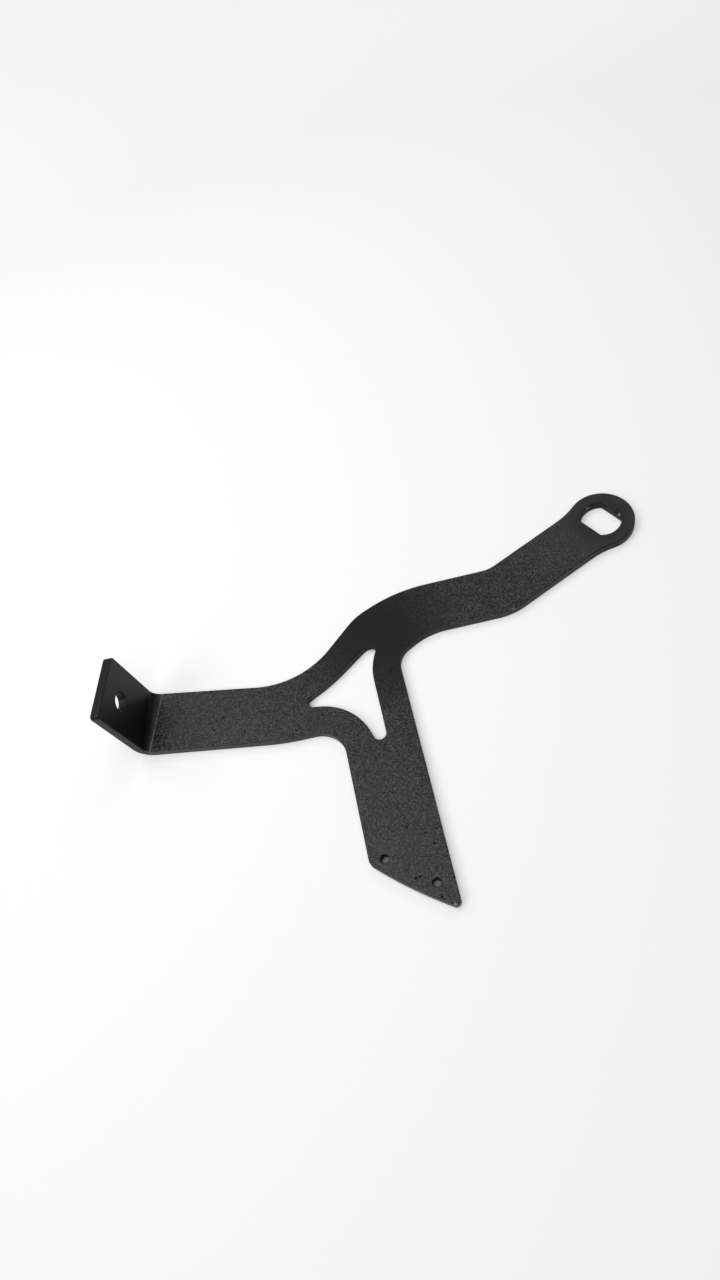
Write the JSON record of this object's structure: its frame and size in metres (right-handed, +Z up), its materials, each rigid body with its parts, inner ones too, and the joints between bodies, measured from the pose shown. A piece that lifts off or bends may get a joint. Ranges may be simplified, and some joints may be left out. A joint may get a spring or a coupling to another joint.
{
  "type": "rear mudguard bracket",
  "caption": "Flat black steel bracket with a folded bolt tab, an elbowed arm ending in an axle eye with two flats, a leg with an arched foot and a triangular window.",
  "frame": {"origin": "centre of the bounding box, on the plate's underside", "axes": "+Z up out of the plate, the way the tab is folded; +X along the long arm from the tab towards the axle eye; +Y from the foot towards the axle eye"},
  "size_m": [0.1808, 0.1436, 0.0317],
  "materials": {
    "powder_coat": "fine textured black powder coat, satin to matt"
  },
  "bodies": {
    "root": {"rear_mudguard_bracket": "powder_coat"}
  },
  "joints": []
}
